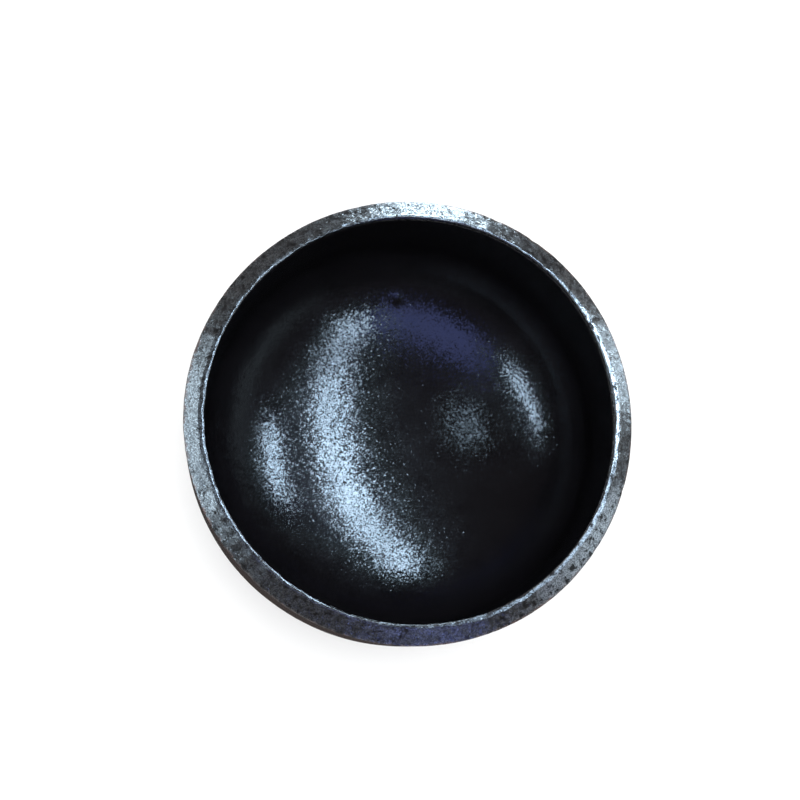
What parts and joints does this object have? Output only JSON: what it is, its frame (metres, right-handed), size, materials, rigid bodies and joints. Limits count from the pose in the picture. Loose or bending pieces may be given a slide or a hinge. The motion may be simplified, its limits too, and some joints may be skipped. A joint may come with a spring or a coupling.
{
  "type": "pipe cap",
  "caption": "Butt-weld pipe cap: a pressed steel shell with a straight skirt, a semi-ellipsoidal crown and a bevelled weld end that closes a pipe.",
  "frame": {"origin": "centre of the weld end, on the plane of its root face", "axes": "+Z along the pipe's axis, out of the open mouth and towards the pipe that the cap closes; the crown hangs below and the cap rests on its pole; X and Y are any square pair, because the cap is round"},
  "size_m": [0.1684, 0.1684, 0.0889],
  "materials": {
    "black_varnished_steel": "gloss black anti-rust varnish over shot-blasted carbon steel, thinner and greyer on the machined weld bevel"
  },
  "bodies": {
    "root": {"cap_shell": "black_varnished_steel"}
  },
  "joints": []
}
